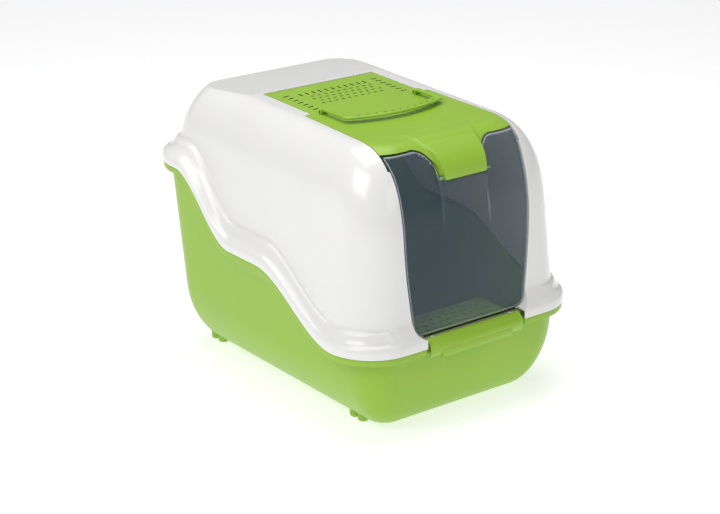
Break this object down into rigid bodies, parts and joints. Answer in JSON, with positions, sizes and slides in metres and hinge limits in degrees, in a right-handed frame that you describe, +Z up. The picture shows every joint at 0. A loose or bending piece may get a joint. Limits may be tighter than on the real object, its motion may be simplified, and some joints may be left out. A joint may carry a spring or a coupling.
{
  "type": "hooded cat litter box",
  "caption": "Covered cat litter box with a lift-off hood, hinged vented top lid with filter, see-through swing door, carry handle and step grate.",
  "frame": {"origin": "floor level, under the middle of the box", "axes": "+Z up, +X to the right of someone facing the entrance from the front, the entrance faces -Y"},
  "size_m": [0.49, 0.66, 0.5],
  "materials": {
    "green_plastic": "satin moulded",
    "white_plastic": "glossy moulded",
    "smoke_plastic": "clear glossy, smoked",
    "black_plastic": "matte moulded",
    "filter_foam": "carbon-filled foam pad"
  },
  "bodies": {
    "tray": {"tray": "green_plastic"},
    "hood": {"hood": "white_plastic"},
    "top_lid": {"top_lid": "green_plastic", "filter_frame": "black_plastic", "carbon_filter": "filter_foam"},
    "carry_handle": {"carry_handle": "green_plastic"},
    "swing_door": {"swing_door": "smoke_plastic"},
    "front_latch": {"front_latch": "green_plastic"},
    "step_grate": {"step_grate": "green_plastic"}
  },
  "joints": [
    {"name": "hood_lift", "type": "slide", "parent": "tray", "child": "hood", "axis": [0, 0, 1], "range_m": [0, 0.15]},
    {"name": "lid_hinge", "type": "hinge", "parent": "hood", "child": "top_lid", "pos_m": [0, 0.116, 0.49039], "axis": [-1, 0, 0], "range_deg": [0, 95]},
    {"name": "handle_pivot", "type": "hinge", "parent": "top_lid", "child": "carry_handle", "pos_m": [0, -0.032, 0.49463], "axis": [-1, 0, 0], "range_deg": [0, 100]},
    {"name": "door_swing", "type": "hinge", "parent": "top_lid", "child": "swing_door", "pos_m": [0, -0.2845, 0.431], "axis": [-1, 0, 0], "range_deg": [-70, 70]},
    {"name": "latch_flip", "type": "hinge", "parent": "hood", "child": "front_latch", "pos_m": [0, -0.3105, 0.1675], "axis": [-1, 0, 0], "range_deg": [0, 75]},
    {"name": "grate_lift", "type": "slide", "parent": "tray", "child": "step_grate", "axis": [0, 0, 1], "range_m": [0, 0.12]}
  ]
}
